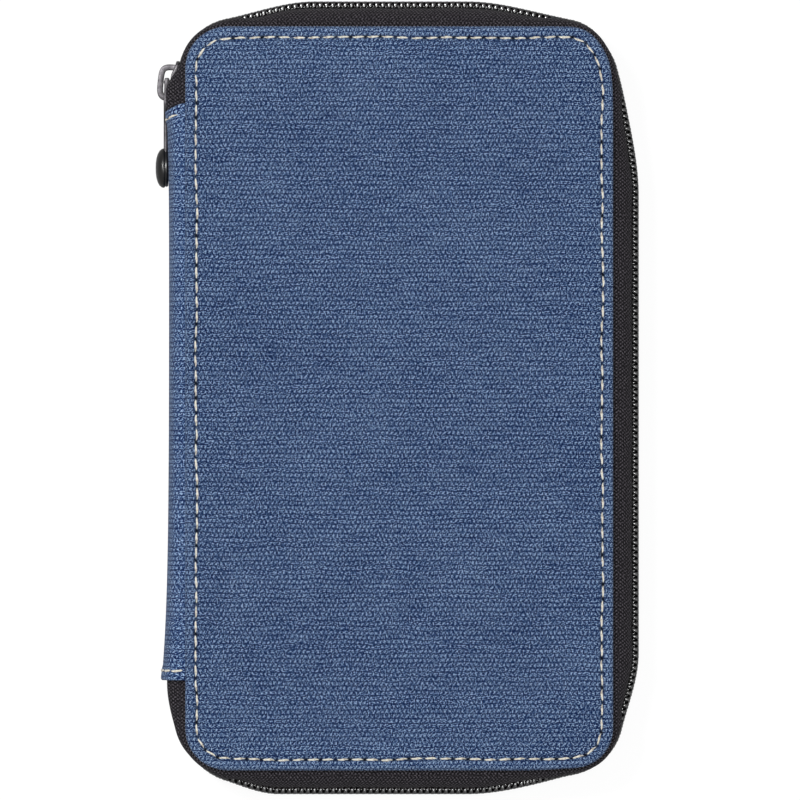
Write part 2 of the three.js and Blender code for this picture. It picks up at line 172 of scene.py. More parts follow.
def outline(s):
    """Points, outward normals, side numbers, distances from the nearest corner's middle and whether that
    corner is the side's far one, at distances s along the covers' outline, clockwise seen from the front,
    from the middle of the top left corner."""
    s = np.mod(np.asarray(s, float), PERIMETER)
    spans = [CORNER_ARC + SIDE_X, CORNER_ARC + SIDE_Y] * 2
    starts = travelled(spans)[:-1]
    side = np.searchsorted(starts, s, side="right") - 1
    along = s - starts[side]
    length = np.array(spans)[side]
    straight = np.clip(along - CORNER_ARC / 2, 0, length - CORNER_ARC)
    turned = along - CORNER_ARC / 2 - straight
    angle = math.pi / 2 * (1 - side) - turned / CORNER
    base = math.pi / 2 * (1 - side)
    corners = np.array([[-1, 1], [1, 1], [1, -1], [-1, -1]]) * [HALF_W - CORNER, HALF_H - CORNER]
    tangent = np.stack([np.sin(base), -np.cos(base)], -1)
    normal = np.stack([np.cos(angle), np.sin(angle)], -1)
    drawn = sum(depth * np.exp(-(((s - middle) / DRAWN_SPAN) ** 2)) for middle, depth in DRAWN_IN)
    point = corners[side] + tangent * straight[:, None] + normal * (CORNER - drawn)[:, None]
    return point, normal, side, np.minimum(along, length - along), (along > length / 2).astype(int)


def bulge(s):
    """How far the zipper chain's centre line stands off the outline in the frame."""
    side, from_corner, far_half = outline(s)[2:]
    full = np.array([BULGE[name] for name in SIDES])[side]
    ramp = np.array([RAMP[name] for name in SIDES])[side, far_half]
    return mix(CORNER_BULGE, full, smooth(from_corner / ramp))


def off_outline(s, off, z):
    """Points at distances off the outline and heights z; off and z broadcast against s."""
    point, normal = outline(s)[:2]
    shape = np.broadcast(np.asarray(off), np.asarray(z)).shape
    extra = (1,) * (len(shape) - 1)
    point = point.reshape(len(point), *extra, 2)
    normal = normal.reshape(len(normal), *extra, 2)
    flat = point + normal * np.broadcast_to(off, shape)[..., None]
    return np.concatenate([flat, np.broadcast_to(z, shape)[..., None]], -1)


# ---- Meshes ----


def add_to_scene(name, data):
    thing = bpy.data.objects.new(name, data)
    bpy.context.scene.collection.objects.link(thing)
    return thing


def new_object(name, points, faces, uvs, look, smooth_angle=60):
    """A mesh object from points in millimetres. uvs holds one millimetre pair for each face corner."""
    mesh = bpy.data.meshes.new(name)
    mesh.from_pydata((np.asarray(points, float) * MM).tolist(), [], faces)
    mesh.uv_layers.new(name="cloth").data.foreach_set("uv", np.asarray(uvs, np.float32).ravel())
    work = bmesh.new()
    work.from_mesh(mesh)
    bmesh.ops.recalc_face_normals(work, faces=work.faces)
    work.to_mesh(mesh)
    work.free()
    mesh.shade_smooth()
    mesh.set_sharp_from_angle(angle=math.radians(smooth_angle))
    mesh.materials.append(look)
    return add_to_scene(name, mesh)


def grid_faces(rows, cols, wrap_cols=False, start=0):
    """Quads over a grid of points, and the grid places of their corners, for its UVs."""
    i, j = np.meshgrid(np.arange(rows - 1), np.arange(cols - 1 + wrap_cols), indexing="ij")
    corner_i = np.stack([i, i + 1, i + 1, i], -1).reshape(-1, 4)
    corner_j = np.stack([j, j, j + 1, j + 1], -1).reshape(-1, 4)
    faces = start + corner_i * cols + corner_j % cols
    return faces.tolist(), corner_i.ravel(), corner_j.ravel()


def tube(rings, uv, start=0):
    """Points, faces and UVs of a closed tube through rings of points: rings is (places, points round, 3),
    and uv has one more column. start is the number of the tube's first point."""
    rows, cols = rings.shape[:2]
    faces, i, j = grid_faces(rows, cols, True, start)
    last = start + (rows - 1) * cols
    faces += [list(range(start, start + cols)), list(range(last, last + cols))]
    return rings.reshape(-1, 3), faces, np.concatenate([uv[i, j], uv[0, :cols], uv[-1, :cols]])


def dome(name, rings, uv, look, smooth_angle=60):
    """A closed body from rings of points, with UVs of the same shape. The first and last ring are points."""
    rows, cols = rings[1:-1].shape[:2]
    uv = np.concatenate([uv, uv[:, :1]], 1)
    faces, i, j = grid_faces(rows, cols, True)
    uvs = [uv[1:-1][i, j]]
    points = np.concatenate([rings[1:-1].reshape(-1, 3), rings[0, :1], rings[-1, :1]])
    k = np.arange(cols)
    for pole, first, pole_row, ring_row in ((0, 0, 0, 1), (1, (rows - 1) * cols, -1, -2)):
        fan = [np.full(cols, rows * cols + pole), first + k, first + (k + 1) % cols]
        faces += np.stack(fan, -1).tolist()
        pole_uv = np.repeat(uv[pole_row, :1], cols, 0)
        uvs.append(np.stack([pole_uv, uv[ring_row, k], uv[ring_row, k + 1]], 1).reshape(-1, 2))
    return new_object(name, points, faces, np.concatenate(uvs), look, smooth_angle)


def slab(name, top, bottom, uv, look, smooth_angle=50):
    """A closed cloth sheet between two grids of points of the same shape."""
    rows, cols = top.shape[:2]
    count = rows * cols
    faces, i, j = grid_faces(rows, cols)
    under = [[face[0] + count, face[3] + count, face[2] + count, face[1] + count] for face in faces]
    uvs = [uv[i, j], uv[i, j].reshape(-1, 4, 2)[:, [0, 3, 2, 1]].reshape(-1, 2)]
    rim = (
        [(0, c) for c in range(cols)]
        + [(r, cols - 1) for r in range(1, rows)]
        + [(rows - 1, c) for c in range(cols - 2, -1, -1)]
        + [(r, 0) for r in range(rows - 2, 0, -1)]
    )
    walls = []
    wall_uvs = []
    for a, b in zip(rim, rim[1:] + rim[:1]):
        first = a[0] * cols + a[1]
        second = b[0] * cols + b[1]
        walls.append([first, second, second + count, first + count])
        wall_uvs += [uv[a], uv[b], uv[b], uv[a]]
    points = np.concatenate([top.reshape(-1, 3), bottom.reshape(-1, 3)])
    uvs = np.concatenate([*uvs, wall_uvs])
    return new_object(name, points, faces + under + walls, uvs, look, smooth_angle)


def place(piece, body, slot, *nodes):
    """Rides a piece on a body, in place of the CAD nodes it stands for, if any. slot is not used."""
    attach(piece, body)
    if nodes:
        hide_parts(*nodes)


# ---- Materials ----


def colour(red, green, blue, brightness=1.0):
    """A linear colour, made brighter or darker, from 0 to 255 sRGB values."""
    channels = [v / 255 for v in (red, green, blue)]
    linear = [v / 12.92 if v <= 0.04045 else ((v + 0.055) / 1.055) ** 2.4 for v in channels]
    return (*[brightness * v for v in linear], 1)


class Look:
    """A material whose nodes are wired by short calls."""

    def __init__(self, name, **surface):
        self.material = bpy.data.materials.new(name)
        self.material.use_nodes = True
        self.tree = self.material.node_tree
        self.shader = self.tree.nodes["Principled BSDF"]
        for key, value in surface.items():
            self.set(key, value)

    def set(self, key, value):
        self.feed(self.shader.inputs[key.replace("_", " ")], value)

    def feed(self, socket, value):
        if isinstance(value, bpy.types.NodeSocket):
            self.tree.links.new(value, socket)
        else:
            socket.default_value = value

    def add(self, kind, inputs=None, **settings):
        node = self.tree.nodes.new("ShaderNode" + kind)
        for key, value in settings.items():
            setattr(node, key, value)
        for key, value in (inputs or {}).items():
            self.feed(node.inputs[key], value)
        return node

    def math(self, operation, *operands):
        node = self.add("Math", operation=operation)
        for socket, value in zip(node.inputs, operands):
            self.feed(socket, value)
        return node.outputs[0]

    def cloth_place(self):
        """Millimetres along and across the cloth, from its UVs."""
        split = self.add("SeparateXYZ", {"Vector": self.add("UVMap", uv_map="cloth").outputs[0]})
        return split.outputs[0], split.outputs[1]

    def noise(self, u, v, seed, size_u, size_v=None, detail=1.0):
        """Noise over the cloth, centred on 0, whose features measure size_u by size_v."""
        x = self.math("DIVIDE", u, size_u)
        y = self.math("DIVIDE", v, size_v or size_u)
        vector = self.add("CombineXYZ", {"X": x, "Y": y, "Z": seed}).outputs[0]
        noise = self.add("TexNoise", {"Vector": vector, "Scale": 1.0, "Detail": detail})
        return self.math("SUBTRACT", noise.outputs["Fac"], 0.5)

    def wave(self, value, length, kind="SINE"):
        return self.math(kind, self.math("MULTIPLY", value, 2 * math.pi / length))

    def plus(self, value, *terms):
        """value and any number of (term, share) pairs added up."""
        for term, share in terms:
            value = self.math("MULTIPLY_ADD", term, share, value)
        return value

    def object_noise(self, scale, detail=3.0):
        """Noise fixed to the piece: scale is in bumps per millimetre."""
        where = self.add("TexCoord").outputs["Object"]
        return self.add("TexNoise", {"Vector": where, "Scale": scale / MM, "Detail": detail}).outputs["Fac"]

    def ramp(self, factor, *stops):
        """A colour ramp whose stops are pairs of a position and a linear colour."""
        node = self.add("ValToRGB", {"Fac": factor})
        elements = node.color_ramp.elements
        while len(elements) < len(stops):
            elements.new(0.5)
        for element, (position, value) in zip(elements, stops):
            element.position = position
            element.color = value
        return node.outputs[0]

    def shades(self, factor, *stops, brightness=1.0):
        """A ramp whose stops are pairs of a position and an sRGB colour."""
        return self.ramp(factor, *[(place, colour(*shade, brightness)) for place, shade in stops])

    def tint(self, factor, *stops):
        self.set("Base_Color", self.shades(factor, *stops))

    def blend_colours(self, factor, first, second):
        """The mix node's colour sockets are inputs 6 and 7 and output 2."""
        return self.add("Mix", {0: factor, 6: first, 7: second}, data_type="RGBA").outputs[2]

    def finish(self, height, depth_mm):
        """Adds a bump, and gives the material."""
        node = self.add("Bump", {"Height": height, "Distance": depth_mm * MM})
        self.feed(self.shader.inputs["Normal"], node.outputs[0])
        return self.material


def canvas(name, brightness=1.0):
    """Coarse plain weave: thick cross yarns rise in rows of floats, with thin yarns between them."""
    look = Look(name, Roughness=0.95, Specular_IOR_Level=0.15, Sheen_Weight=0.06)
    u, v = look.cloth_place()
    yarn_u = look.plus(u, (look.noise(u, v, 1.0, 5.0), 0.9), (look.noise(u, v, 2.0, 0.9), 0.24))
    yarn_v = look.plus(v, (look.noise(u, v, 3.0, 9.0), 1.2), (look.noise(u, v, 4.0, 1.1), 0.3))
    along = look.wave(yarn_v, 2 * WEFT_PITCH)
    row = look.math("SIGN", along)
    lean = look.math("MULTIPLY", look.wave(yarn_v, 2 * WEFT_PITCH, "COSINE"), look.noise(u, v, 9.0, 1.6))
    swayed = look.plus(yarn_u, (look.math("MULTIPLY", lean, row), 0.6))
    chequer = look.math("MULTIPLY", look.wave(swayed, WARP_PITCH), along)
    slanted = look.plus(yarn_u, (yarn_v, -1.5 * WARP_PITCH / WEFT_PITCH))
    strand = look.wave(slanted, WARP_PITCH, "COSINE")
    trough = look.math("POWER", look.math("SUBTRACT", 1.0, look.math("ABSOLUTE", along)), 3.0)
    height = look.plus(0.5, (chequer, 0.28), (trough, -0.59), (strand, -0.11))
    uneven = look.noise(u, v, 6.0, 0.9, 0.8, 0.0)
    lit = look.math("MULTIPLY", height, look.plus(0.98, (uneven, 0.55)))
    slub = look.noise(u, v, 5.0, 7.0, 1.1)
    fibre = look.noise(u, v, 7.0, 0.3, 0.26)
    blotch = look.noise(u, v, 8.0, 25.0, 25.0, 2.0)
    # The cover's rounded rim is lightened a little: a painted highlight where the edge turns over.
    painted_rim_light = look.add("Attribute", attribute_name="edge_highlight").outputs["Fac"]
    lit = look.plus(lit, (slub, 0.4), (fibre, 4.0), (blotch, 0.2), (painted_rim_light, 0.08))
    # Part of this colour is painted light: shade in the hollows between rows and highlights on the floats,
    # over the yarns' own uneven tone.
    shades = ((0.0, (0, 8, 56)), (0.3, (15, 44, 88)), (0.62, (65, 92, 131)), (1.0, (149, 172, 203)))
    # Needle holes are blended towards near black: painted shade in the holes between stitches.
    hole = look.add("Attribute", attribute_name="needle_hole_shade").outputs["Fac"]
    cloth = look.shades(lit, *shades, brightness=brightness)
    look.set("Base_Color", look.blend_colours(hole, cloth, colour(8, 11, 20)))
    return look.finish(height, 0.2)


def twill(name):
    """Zipper tape: close ribs in near black that slant one way and then the other."""
    look = Look(name, Roughness=0.85, Specular_IOR_Level=0.12, Sheen_Weight=0.03)
    u, v = look.cloth_place()
    turned = look.math("PINGPONG", look.math("ADD", v, 1.4), 4.4)
    rib = look.wave(look.plus(u, (turned, 0.85), (look.noise(u, v, 2.0, 3.0), 0.5)), 0.9)
    thread = look.wave(turned, 0.62)
    height = look.plus(0.45, (look.math("MULTIPLY", rib, thread), 0.5), (rib, 0.3))
    lit = look.plus(height, (look.noise(u, v, 1.0, 0.45, 0.35), 2.2))
    shades = ((0.05, (8, 7, 10)), (0.5, (36, 34, 38)), (0.9, (72, 68, 74)), (1.0, (96, 92, 98)))
    look.tint(lit, *shades)
    return look.finish(height, 0.1)


def plain_cloth(name, tones, pitch, depth, roughness, check=0.0):
    """A fine plain weave; check is the spacing of heavier ripstop yarns, or 0 for none."""
    look = Look(name, Roughness=roughness, Specular_IOR_Level=0.25, Sheen_Weight=0.1)
    u, v = look.cloth_place()
    cross = look.math("MULTIPLY", look.wave(u, 2 * pitch), look.wave(v, 2 * pitch))
    height = look.math("SQRT", look.math("ABSOLUTE", cross))
    if check:
        for value in (u, v):
            ridge = look.math("LESS_THAN", look.math("PINGPONG", value, check / 2), pitch * 0.8)
            height = look.plus(height, (ridge, 0.6))
    lit = look.plus(height, (look.noise(u, v, 2.0, 9.0, 9.0, 2.0), 0.9))
    look.tint(lit, (0.1, tones[0]), (0.75, tones[1]))
    return look.finish(height, depth)


def thread_look(name, dark, light):
    """Twisted sewing thread: each stitch a little different, its plies at a slant."""
    look = Look(name, Roughness=0.7, Specular_IOR_Level=0.25, Sheen_Weight=0.08)
    u, v = look.cloth_place()
    ply = look.wave(look.math("ADD", u, v), 0.62)
    each = look.add("NewGeometry").outputs["Random Per Island"]
    lit = look.plus(0.6, (ply, 0.14), (each, 0.2), (look.noise(u, each, 1.0, 0.8), 1.5))
    look.tint(lit, (0.0, dark), (0.8, light))
    return look.finish(ply, 0.07)


def moulded(name, tone, roughness, grain):
    """Moulded plastic with a faint grain and handling marks."""
    look = Look(name, IOR=1.58)
    smear = look.object_noise(0.25)
    lighter = [c + 16 for c in tone]
    look.tint(smear, (0.35, tone), (0.8, lighter))
    look.set("Roughness", look.plus(roughness, (smear, 0.16)))
    return look.finish(look.object_noise(6.0), grain)


def nylon(name):
    """Glossy black filament, a little uneven along its length."""
    look = Look(name, IOR=2.15)
    u, v = look.cloth_place()
    run = look.noise(u, v, 1.0, 1.3)
    look.tint(run, (0.0, (4, 4, 5)), (0.3, (13, 13, 14)))
    look.set("Roughness", look.plus(0.19, (run, 0.08)))
    return look.finish(run, 0.01)


def gunmetal(name, tone=1.0):
    """Plated metal, polished and lighter where edges have worn, with fine scratches."""
    look = Look(name, Metallic=1.0)
    edge = look.math("SUBTRACT", look.add("NewGeometry").outputs["Pointiness"], 0.5)
    cloud = look.object_noise(0.7)
    lit = look.plus(cloud, (edge, 3.0))
    shades = ((0.3, (84, 82, 86)), (0.55, (120, 117, 121)), (0.9, (170, 167, 171)))
    toned = [(where, [tone * c for c in shade]) for where, shade in shades]
    look.tint(lit, *toned)
    look.set("Roughness", look.plus(0.3, (cloud, 0.25)))
    return look.finish(look.object_noise(4.0), 0.03)


def grey_board(name):
    """Pulp board with fibres."""
    look = Look(name, Roughness=0.95)
    fibre = look.object_noise(1.5, 6.0)
    look.tint(fibre, (0.3, (52, 50, 48)), (0.7, (78, 75, 71)))
    return look.finish(fibre, 0.1)


def knitted_elastic(name):
    """Elastic webbing: ribs across, fine rows along."""
    look = Look(name, Roughness=0.8, Sheen_Weight=0.3)
    u, v = look.cloth_place()
    ribs = look.math("ABSOLUTE", look.wave(u, 1.8))
    rows = look.math("ABSOLUTE", look.wave(v, 1.0))
    height = look.math("MULTIPLY", ribs, rows)
    look.tint(height, (0.0, (14, 14, 16)), (1.0, (48, 48, 53)))
    return look.finish(height, 0.15)


CANVAS = canvas("blue_canvas")
SPINE_CANVAS = canvas("blue_spine_canvas", 1.25)
TAPE = twill("ribbed_zipper_tape")
COIL = nylon("coil_nylon")
THREAD = thread_look("cream_thread", (118, 98, 80), (255, 250, 236))
DARK_THREAD = thread_look("black_thread", (18, 18, 20), (52, 52, 56))
LINING = plain_cloth("lining_cloth", ((16, 17, 20), (44, 46, 52)), 0.35, 0.05, 0.6)
POCKET = plain_cloth("pocket_cloth", ((22, 24, 28), (62, 66, 74)), 0.4, 0.07, 0.7, check=5.0)
BINDING = plain_cloth("binding_tape", ((24, 34, 54), (66, 86, 122)), 0.6, 0.12, 0.8)
ELASTIC = knitted_elastic("knitted_elastic")
METAL = gunmetal("gunmetal", 0.78)
# A darker copy of the gunmetal for the puller: painted shade for where it sits in the recess of the bail.
SHADED_METAL = gunmetal("shaded_gunmetal", 0.66)
GRIP = moulded("gloss_black_grip", (7, 7, 8), 0.22, 0.008)
BOARD = grey_board("grey_board")


# ---- The covers ----


def depth_to_z(side, depth):
    return depth if side == "back" else THICKNESS - depth


PER_STITCH = 4  # places round a cover for each stitch
CENTRE_SCALES = (0.86, 0.7, 0.5, 0.25)  # rings that close a cover's face, as shares of the last inset ring
WANDER = ((0.13, 9, 0.7), (0.12, 23, 0), (0.08, 41, 2))  # swing, waves round the cover and phase


def seam_wander(s):
    """How far the sewn line strays inwards: whole waves round the cover, so that it meets itself."""
    turn = 2 * math.pi * np.asarray(s) / PERIMETER
    return sum(swing * np.sin(waves * turn + phase) for swing, waves, phase in WANDER)


def seam_places():
    """Distances along the outline, PER_STITCH to each stitch, that are evenly spaced along the sewn line."""
    s = np.linspace(0, PERIMETER, 6000)
    line = off_outline(s, -SEAM_INSET - seam_wander(s), np.zeros(len(s)))
    along = travelled(np.linalg.norm(np.diff(line, axis=0), axis=1))
    count = round(along[-1] / STITCH_PITCH) * PER_STITCH
    return np.interp(np.arange(count) / count * along[-1], along, s)


PLACES = seam_places()
STITCH_COUNT = len(PLACES) // PER_STITCH


def centre_rings(edge, edge_flat, crown_z):
    """Shrinking rings, and their UVs, that close a face from its edge and rise to crown_z at the centre."""
    rings = []
    flat = []
    for scale in (*CENTRE_SCALES, 0.0):
        ring = edge * [scale, scale, 1]
        ring[:, 2] = mix(crown_z, edge[:, 2].mean(), scale**2)
        rings.append(ring)
        flat.append(edge_flat * scale)
    return rings, flat


def cover_form(side, profile, first_depth, last_depth, lift=None):
    """Rings and UVs of a closed body the shape of a cover: a face from its centre, a profile of (inset,
    depth, unrolled inset), and a face to its centre. lift gives a ring's extra depth at each place."""
    point, normal = outline(PLACES)[:2]
    rings = []
    flat = []
    for k, (inset, depth, unrolled) in enumerate(profile):
        stray = (seam_wander(PLACES) * math.exp(-((inset - SEAM_INSET) ** 2)))[:, None]
        ring_depth = np.full(len(PLACES), float(depth))
        if lift:
            ring_depth += lift(k, np.arange(len(PLACES)))
        rings.append(np.column_stack([point - normal * (inset + stray), depth_to_z(side, ring_depth)]))
        flat.append(point - normal * (unrolled + stray))
    first, first_flat = centre_rings(rings[0], flat[0], depth_to_z(side, first_depth))
    last, last_flat = centre_rings(rings[-1], flat[-1], depth_to_z(side, last_depth))
    return np.array(first[::-1] + rings + last), np.array(first_flat[::-1] + flat + last_flat)


def make_layer(side, kind, rings, flat, look):
    """A layer of a cover, that stands for the CAD's."""
    piece = dome(f"{side}_cover_{kind}", rings, flat, look)
    place(piece, f"{side}_cover", kind, f"{side}_{kind}")
    return piece


FACE_INSET = 9.0  # where the rings that close a face take over from a profile
# The section of a cover's canvas: across its face and the sewn line, as (inset, depth),
COVER_FACE = [
    (FACE_INSET, -0.16), (6.5, -0.12), (5.0, -0.08), (4.1, -0.02), (3.5, 0.07), (3.1, 0.2),
    (SEAM_INSET, 0.32), (2.4, 0.2), (2.05, 0.06), (1.6, -0.04), (1.15, -0.02), (0.7, 0.1),
]
# and on round its turned edge to the inside, as (inset, depth, inset when unrolled).
COVER_EDGE = [
    (0.35, 0.32, 0.25), (0.1, 0.66, -0.15), (0.0, 1.05, -0.55), (0.02, 1.5, -1.0), (0.12, 1.85, -1.35),
    (0.35, 2.06, -1.65), (0.62, 2.08, -1.9), (0.8, 1.95, -2.1), (0.85, 1.5, -2.5), (0.85, 0.85, -3.2),
    (2.0, 0.8, -4.3),
]
COVER_PROFILE = [(inset, depth, inset) for inset, depth in COVER_FACE] + COVER_EDGE
COVER_CROWN = -0.35  # depth of a cover's middle
SEAM_RING = next(k for k, row in enumerate(COVER_PROFILE) if row[0] == SEAM_INSET)
HIGHLIGHT_RING = SEAM_RING + 3  # the first ring of the rounded rim, lightened as a painted highlight
UNEVENNESS = 0.012  # of the cloth's surface


def seam_lift(k, index):
    """Needle holes pull the seam down between stitches, and the cloth beside it puckers."""
    phase = index % PER_STITCH
    hole = {0: 0.3, 1: 0.1}.get(abs(k - SEAM_RING), 0.0)
    pucker = 0.05 if k - SEAM_RING in (-3, 3, 4) else 0.0
    return hole * (phase == 0) + pucker * np.cos(2 * math.pi * phase / PER_STITCH)


def add_attribute(piece, name, rings):
    """Gives each point of a cover a value for its material, from the rings between its two middle points."""
    values = np.zeros(len(piece.data.vertices), np.float32)
    values[: rings.size] = rings.ravel()
    piece.data.attributes.new(name, "FLOAT", "POINT").data.foreach_set("value", values)


def mark_cover(piece, rings):
    """Paints shade into the cloth where the needle went through, and a painted highlight on its rounded rim.
    """
    # Painted shade for the needle holes, stronger at some stitches than at others.
    holes = np.zeros((rings - 2, len(PLACES)))
    rim_highlight = np.zeros_like(holes)
    seam_ring = len(CENTRE_SCALES) + SEAM_RING
    strength = rng.uniform(0.3, 0.85, STITCH_COUNT)
    beside = 0.3 * strength
    for ring, amount in ((-1, 0.9), (0, 1.8), (1, 0.9)):
        row = holes[seam_ring + ring]
        row[::PER_STITCH] = amount * strength
        row[1::PER_STITCH] = amount * beside
        row[PER_STITCH - 1 :: PER_STITCH] = amount * np.roll(beside, -1)
    rim_highlight[len(CENTRE_SCALES) + HIGHLIGHT_RING : len(CENTRE_SCALES) + len(COVER_PROFILE)] = 1
    add_attribute(piece, "needle_hole_shade", holes)
    add_attribute(piece, "edge_highlight", rim_highlight)


def make_cover_canvas(side):
    rings, flat = cover_form(side, COVER_PROFILE, COVER_CROWN, COVER_PROFILE[-1][1], seam_lift)
    rings[..., 2] += rng.normal(0, UNEVENNESS, rings.shape[:2])
    mark_cover(make_layer(side, "canvas", rings, flat, CANVAS), len(rings))


STITCH_LEAN = 0.06  # how much stitches differ in lean
STITCH_WEIGHTS = (0.9, 1.1)  # and in thickness, as shares
PLY_DEPTH = 0.16  # of the twist of a thread's plies, as a share of its radius
PLY_TURN = 2.4  # of the twist, in radians per millimetre
FLATNESS = 0.75  # of a stitch, pulled down on the cloth
FINE_THREAD = {"radius": 0.22, "dive": 0.2}  # for stitches on the lining and the pockets
STITCH_GROOVE = 1.0  # from the lining's edge to the bottom of the groove that its stitches lie in


def stitch_mesh(starts, ends, ups, lifts, radius, dive):
    """Points, faces and UVs of stitches: twisted threads that rise from one needle hole and dive into the
    next, and that lift in the middle to clear a curved cloth."""
    along = 12
    around = 10
    tubes = []
    angle = full_turn(around)
    t = np.linspace(0, 1, along)
    arch = 1 - np.abs(2 * t - 1) ** 2.1
    for start, end, up, lift in zip(starts, ends, ups, lifts):
        run = end - start
        length = np.linalg.norm(run)
        run = run / length
        side = np.cross(up, run)
        lean = rng.normal(0, STITCH_LEAN) * side
        taper = 0.5 + 0.5 * np.sqrt(np.maximum(0, np.sin(math.pi * t)))
        thick = radius * taper * rng.uniform(*STITCH_WEIGHTS)
        twist = 1 + PLY_DEPTH * np.cos(2 * (angle[None, :] - PLY_TURN * t[:, None] * length))
        rise = (arch - 1) * dive + 4 * t * (1 - t) * lift
        centre = start + np.outer(t * length, run) + np.outer(arch, lean) + np.outer(rise, up)
        spoke = np.cos(angle)[:, None] * side + FLATNESS * np.sin(angle)[:, None] * up
        ring = spoke[None] * (thick[:, None] * twist)[..., None]
        uv = uv_grid(t * length, np.arange(around + 1) * 0.2)
        tubes.append(tube(centre[:, None] + ring, uv, len(tubes) * along * around))
    points, faces, uvs = zip(*tubes)
    return np.concatenate(points), sum(faces, []), np.concatenate(uvs)


def points_at(where, along, line):
    """Points of a line at distances along it, from its own points' distances."""
    return np.column_stack([np.interp(where, along, line[:, axis]) for axis in range(3)])


def seam(name, line, ups, look, pitch=STITCH_PITCH, radius=0.27, dive=0.44, cover=0.86, slant=0.13):
    """A row of stitches along a line of closely spaced points, whose last point may meet the first. cover is
    a stitch's share of the pitch, and slant how far its ends are off the line."""
    along = travelled(np.linalg.norm(np.diff(line, axis=0), axis=1))
    count = max(1, round(along[-1] / pitch))
    real = along[-1] / count
    begin = (np.arange(count) + (1 - cover) / 2) * real
    halfway = begin + cover * real / 2
    starts = points_at(begin, along, line)
    ends = points_at(begin + cover * real, along, line)
    up = unit(points_at(halfway, along, ups))
    lifts = np.sum((points_at(halfway, along, line) - (starts + ends) / 2) * up, 1)
    sideways = unit(np.cross(up, ends - starts)) * slant
    stitches = stitch_mesh(starts - sideways, ends + sideways, up, lifts, radius, dive)
    return new_object(name, *stitches, look)


def ring_line(side, inset, depth):
    """The closed line of a cover's seam."""
    s = np.linspace(0, PERIMETER, STITCH_COUNT * 12 + 1)
    return off_outline(s, -inset - seam_wander(s), np.full(len(s), depth_to_z(side, depth)))


def make_cover_seam(side):
    """The stitching on a cover's face, and the finer thread of it that shows on the lining."""
    outwards = 1 if side == "front" else -1
    line = ring_line(side, SEAM_INSET, 0.2)
    ups = np.tile([0, 0, outwards], (len(line), 1))
    piece = seam(f"{side}_cover_stitches", line, ups, THREAD)
    place(piece, f"{side}_cover", "thread", f"{side}_stitching")
    line = ring_line(side, SEAM_INSET + 1.0, LINING_DEPTH + 0.02)
    piece = seam(f"{side}_lining_stitches", line, -ups, DARK_THREAD, **FINE_THREAD)
    place(piece, f"{side}_cover", "thread")


def make_lining(side):
    """The lining, with a groove along its stitches."""
    inset = HALF_W - box_mm("back_lining")[1].x
    low = RIM + 0.03
    high = LINING_DEPTH
    profile = [
        (FACE_INSET, high, FACE_INSET),
        (6.0, high, 6.0),
        (inset + 1.4, high - 0.02, inset + 1.4),
        (inset + STITCH_GROOVE, high - 0.12, inset + STITCH_GROOVE),
        (inset + 0.6, high, inset + 0.6),
        (inset + 0.15, high - 0.05, inset + 0.15),
        (inset, (low + high) / 2, inset - 0.2),
        (inset + 0.15, low, inset - 0.5),
        (6.0, low, -4.0),
    ]
    make_layer(side, "lining", *cover_form(side, profile, high - 0.05, low), LINING)


def make_board(side):
    """The stiff board that the canvas is turned over."""
    low, high = box_mm(f"{side}_board")
    inset = HALF_W - high.x
    near, far = sorted(depth_to_z(side, z) for z in (low.z, high.z))
    profile = [
        (FACE_INSET, near, FACE_INSET),
        (inset + 0.15, near, inset + 0.15),
        (inset, (near + far) / 2, inset - 1),
        (inset + 0.15, far, inset - 2),
        (FACE_INSET, far, -7.0),
    ]
    make_layer(side, "board", *cover_form(side, profile, near, far), BOARD)


# ---- The zipper ----

TOP_HEM = SPINE_HIGH.y
BOTTOM_HEM = SPINE_LOW.y
UNDER_HEM = 3.5  # how far the zipper runs on under the spine's hems
CHAIN_FROM = -(CORNER_ARC / 2 + HALF_H - CORNER - TOP_HEM + UNDER_HEM)
CHAIN_TO = BOTTOM_LEFT + CORNER_ARC / 2 + HALF_H - CORNER + BOTTOM_HEM + UNDER_HEM
TAPE_HALF = 0.25  # half the tape's thickness
TAPE_INSIDE = 1.7  # how far the tape is sewn in under a cover
TAPE_DEPTH = 2.5  # of the tape where it leaves a cover
TAPE_REACH = 0.95  # from the chain's middle back to the tape under it
TAIL_CREST = 0.95  # how far the tape swells at the left corners
CREST_AT = 0.6  # where the tape's curve swells furthest, as a share of the way along it
COIL_MIDDLE = 10.75  # depth of the middle of one half of the chain
COIL_HALF = 0.85  # the filament's path, from the middle of the coil outwards
COIL_SPAN = 1.5  # and from the middle towards the heads
COIL_WIRE = 0.38  # half the filament's thickness
COIL_RAISE = 0.1  # the chain stands this much prouder than the middle of the CAD's
COIL_TILT = 0.04  # and each turn's outer side is this much nearer the front or the back
COIL_PARTED = 0.75  # how far the halves part on their way under the top hem


def past_corner(s):
    """How far s is past the middle of the nearer left corner, towards the spine's hems."""
    return np.maximum(-s, 0) + np.maximum(s - BOTTOM_LEFT, 0)


def tape_crest(s):
    """How far the tape swells where it hides the chain: round the corners, and to fill the spine's hems."""
    past = past_corner(s)
    top_tail = TAIL_CREST + 3.7 * smooth((past - 5.7) / 8.3) - 0.5 * smooth((past - 17.8) / 0.9)
    bottom_tail = TAIL_CREST + 3.4 * smooth(past / 19)
    tail = np.where(s < 0, top_tail, bottom_tail)
    return mix(np.maximum(bulge(s) + 0.6, 0.85), tail, smooth(past / 4))


def curve_weights(t):
    """The shares of a cubic curve's four control points at t along it."""
    return [(1 - t) ** 3, 3 * t * (1 - t) ** 2, 3 * t * t * (1 - t), t**3]


